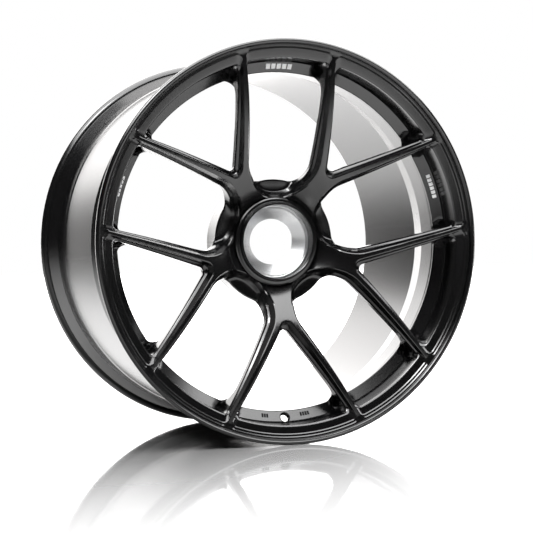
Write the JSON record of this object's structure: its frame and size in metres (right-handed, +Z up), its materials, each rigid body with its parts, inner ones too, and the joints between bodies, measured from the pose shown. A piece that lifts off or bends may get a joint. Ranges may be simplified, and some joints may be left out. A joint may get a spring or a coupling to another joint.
{
  "type": "forged racing wheel rim",
  "caption": "Wide forged centre-lock racing wheel rim with slender forked spokes, a dished face, a deep barrel and a turned cone seat for the wheel nut.",
  "frame": {"origin": "on the axle, on the rim's centre plane midway between the two flanges", "axes": "+Y runs along the axle towards the car, so the outboard face looks towards -Y; +Z is up and the valve hole is at the bottom"},
  "size_m": [0.5429, 0.331, 0.543],
  "materials": {
    "satin_black": "satin black coat on forged aluminium",
    "turned_aluminium": "bare, fine-turned",
    "bush_steel": "ground steel"
  },
  "bodies": {
    "root": {"outboard_flange": "satin_black", "outboard_bead_seat": "satin_black", "spoke_ledge": "satin_black", "drop_centre_well": "satin_black", "barrel": "satin_black", "inboard_bead_seat": "satin_black", "inboard_flange": "satin_black", "trunk_1": "satin_black", "trunk_2": "satin_black", "trunk_3": "satin_black", "trunk_4": "satin_black", "trunk_5": "satin_black", "arm_1_left": "satin_black", "arm_1_right": "satin_black", "arm_2_left": "satin_black", "arm_2_right": "satin_black", "arm_3_left": "satin_black", "arm_3_right": "satin_black", "arm_4_left": "satin_black", "arm_4_right": "satin_black", "arm_5_left": "satin_black", "arm_5_right": "satin_black", "hub_collar": "satin_black", "hub_pad": "satin_black", "cone_seat": "turned_aluminium", "drive_bush_1": "bush_steel", "drive_bush_2": "bush_steel", "drive_bush_3": "bush_steel", "drive_bush_4": "bush_steel", "drive_bush_5": "bush_steel"}
  },
  "joints": []
}
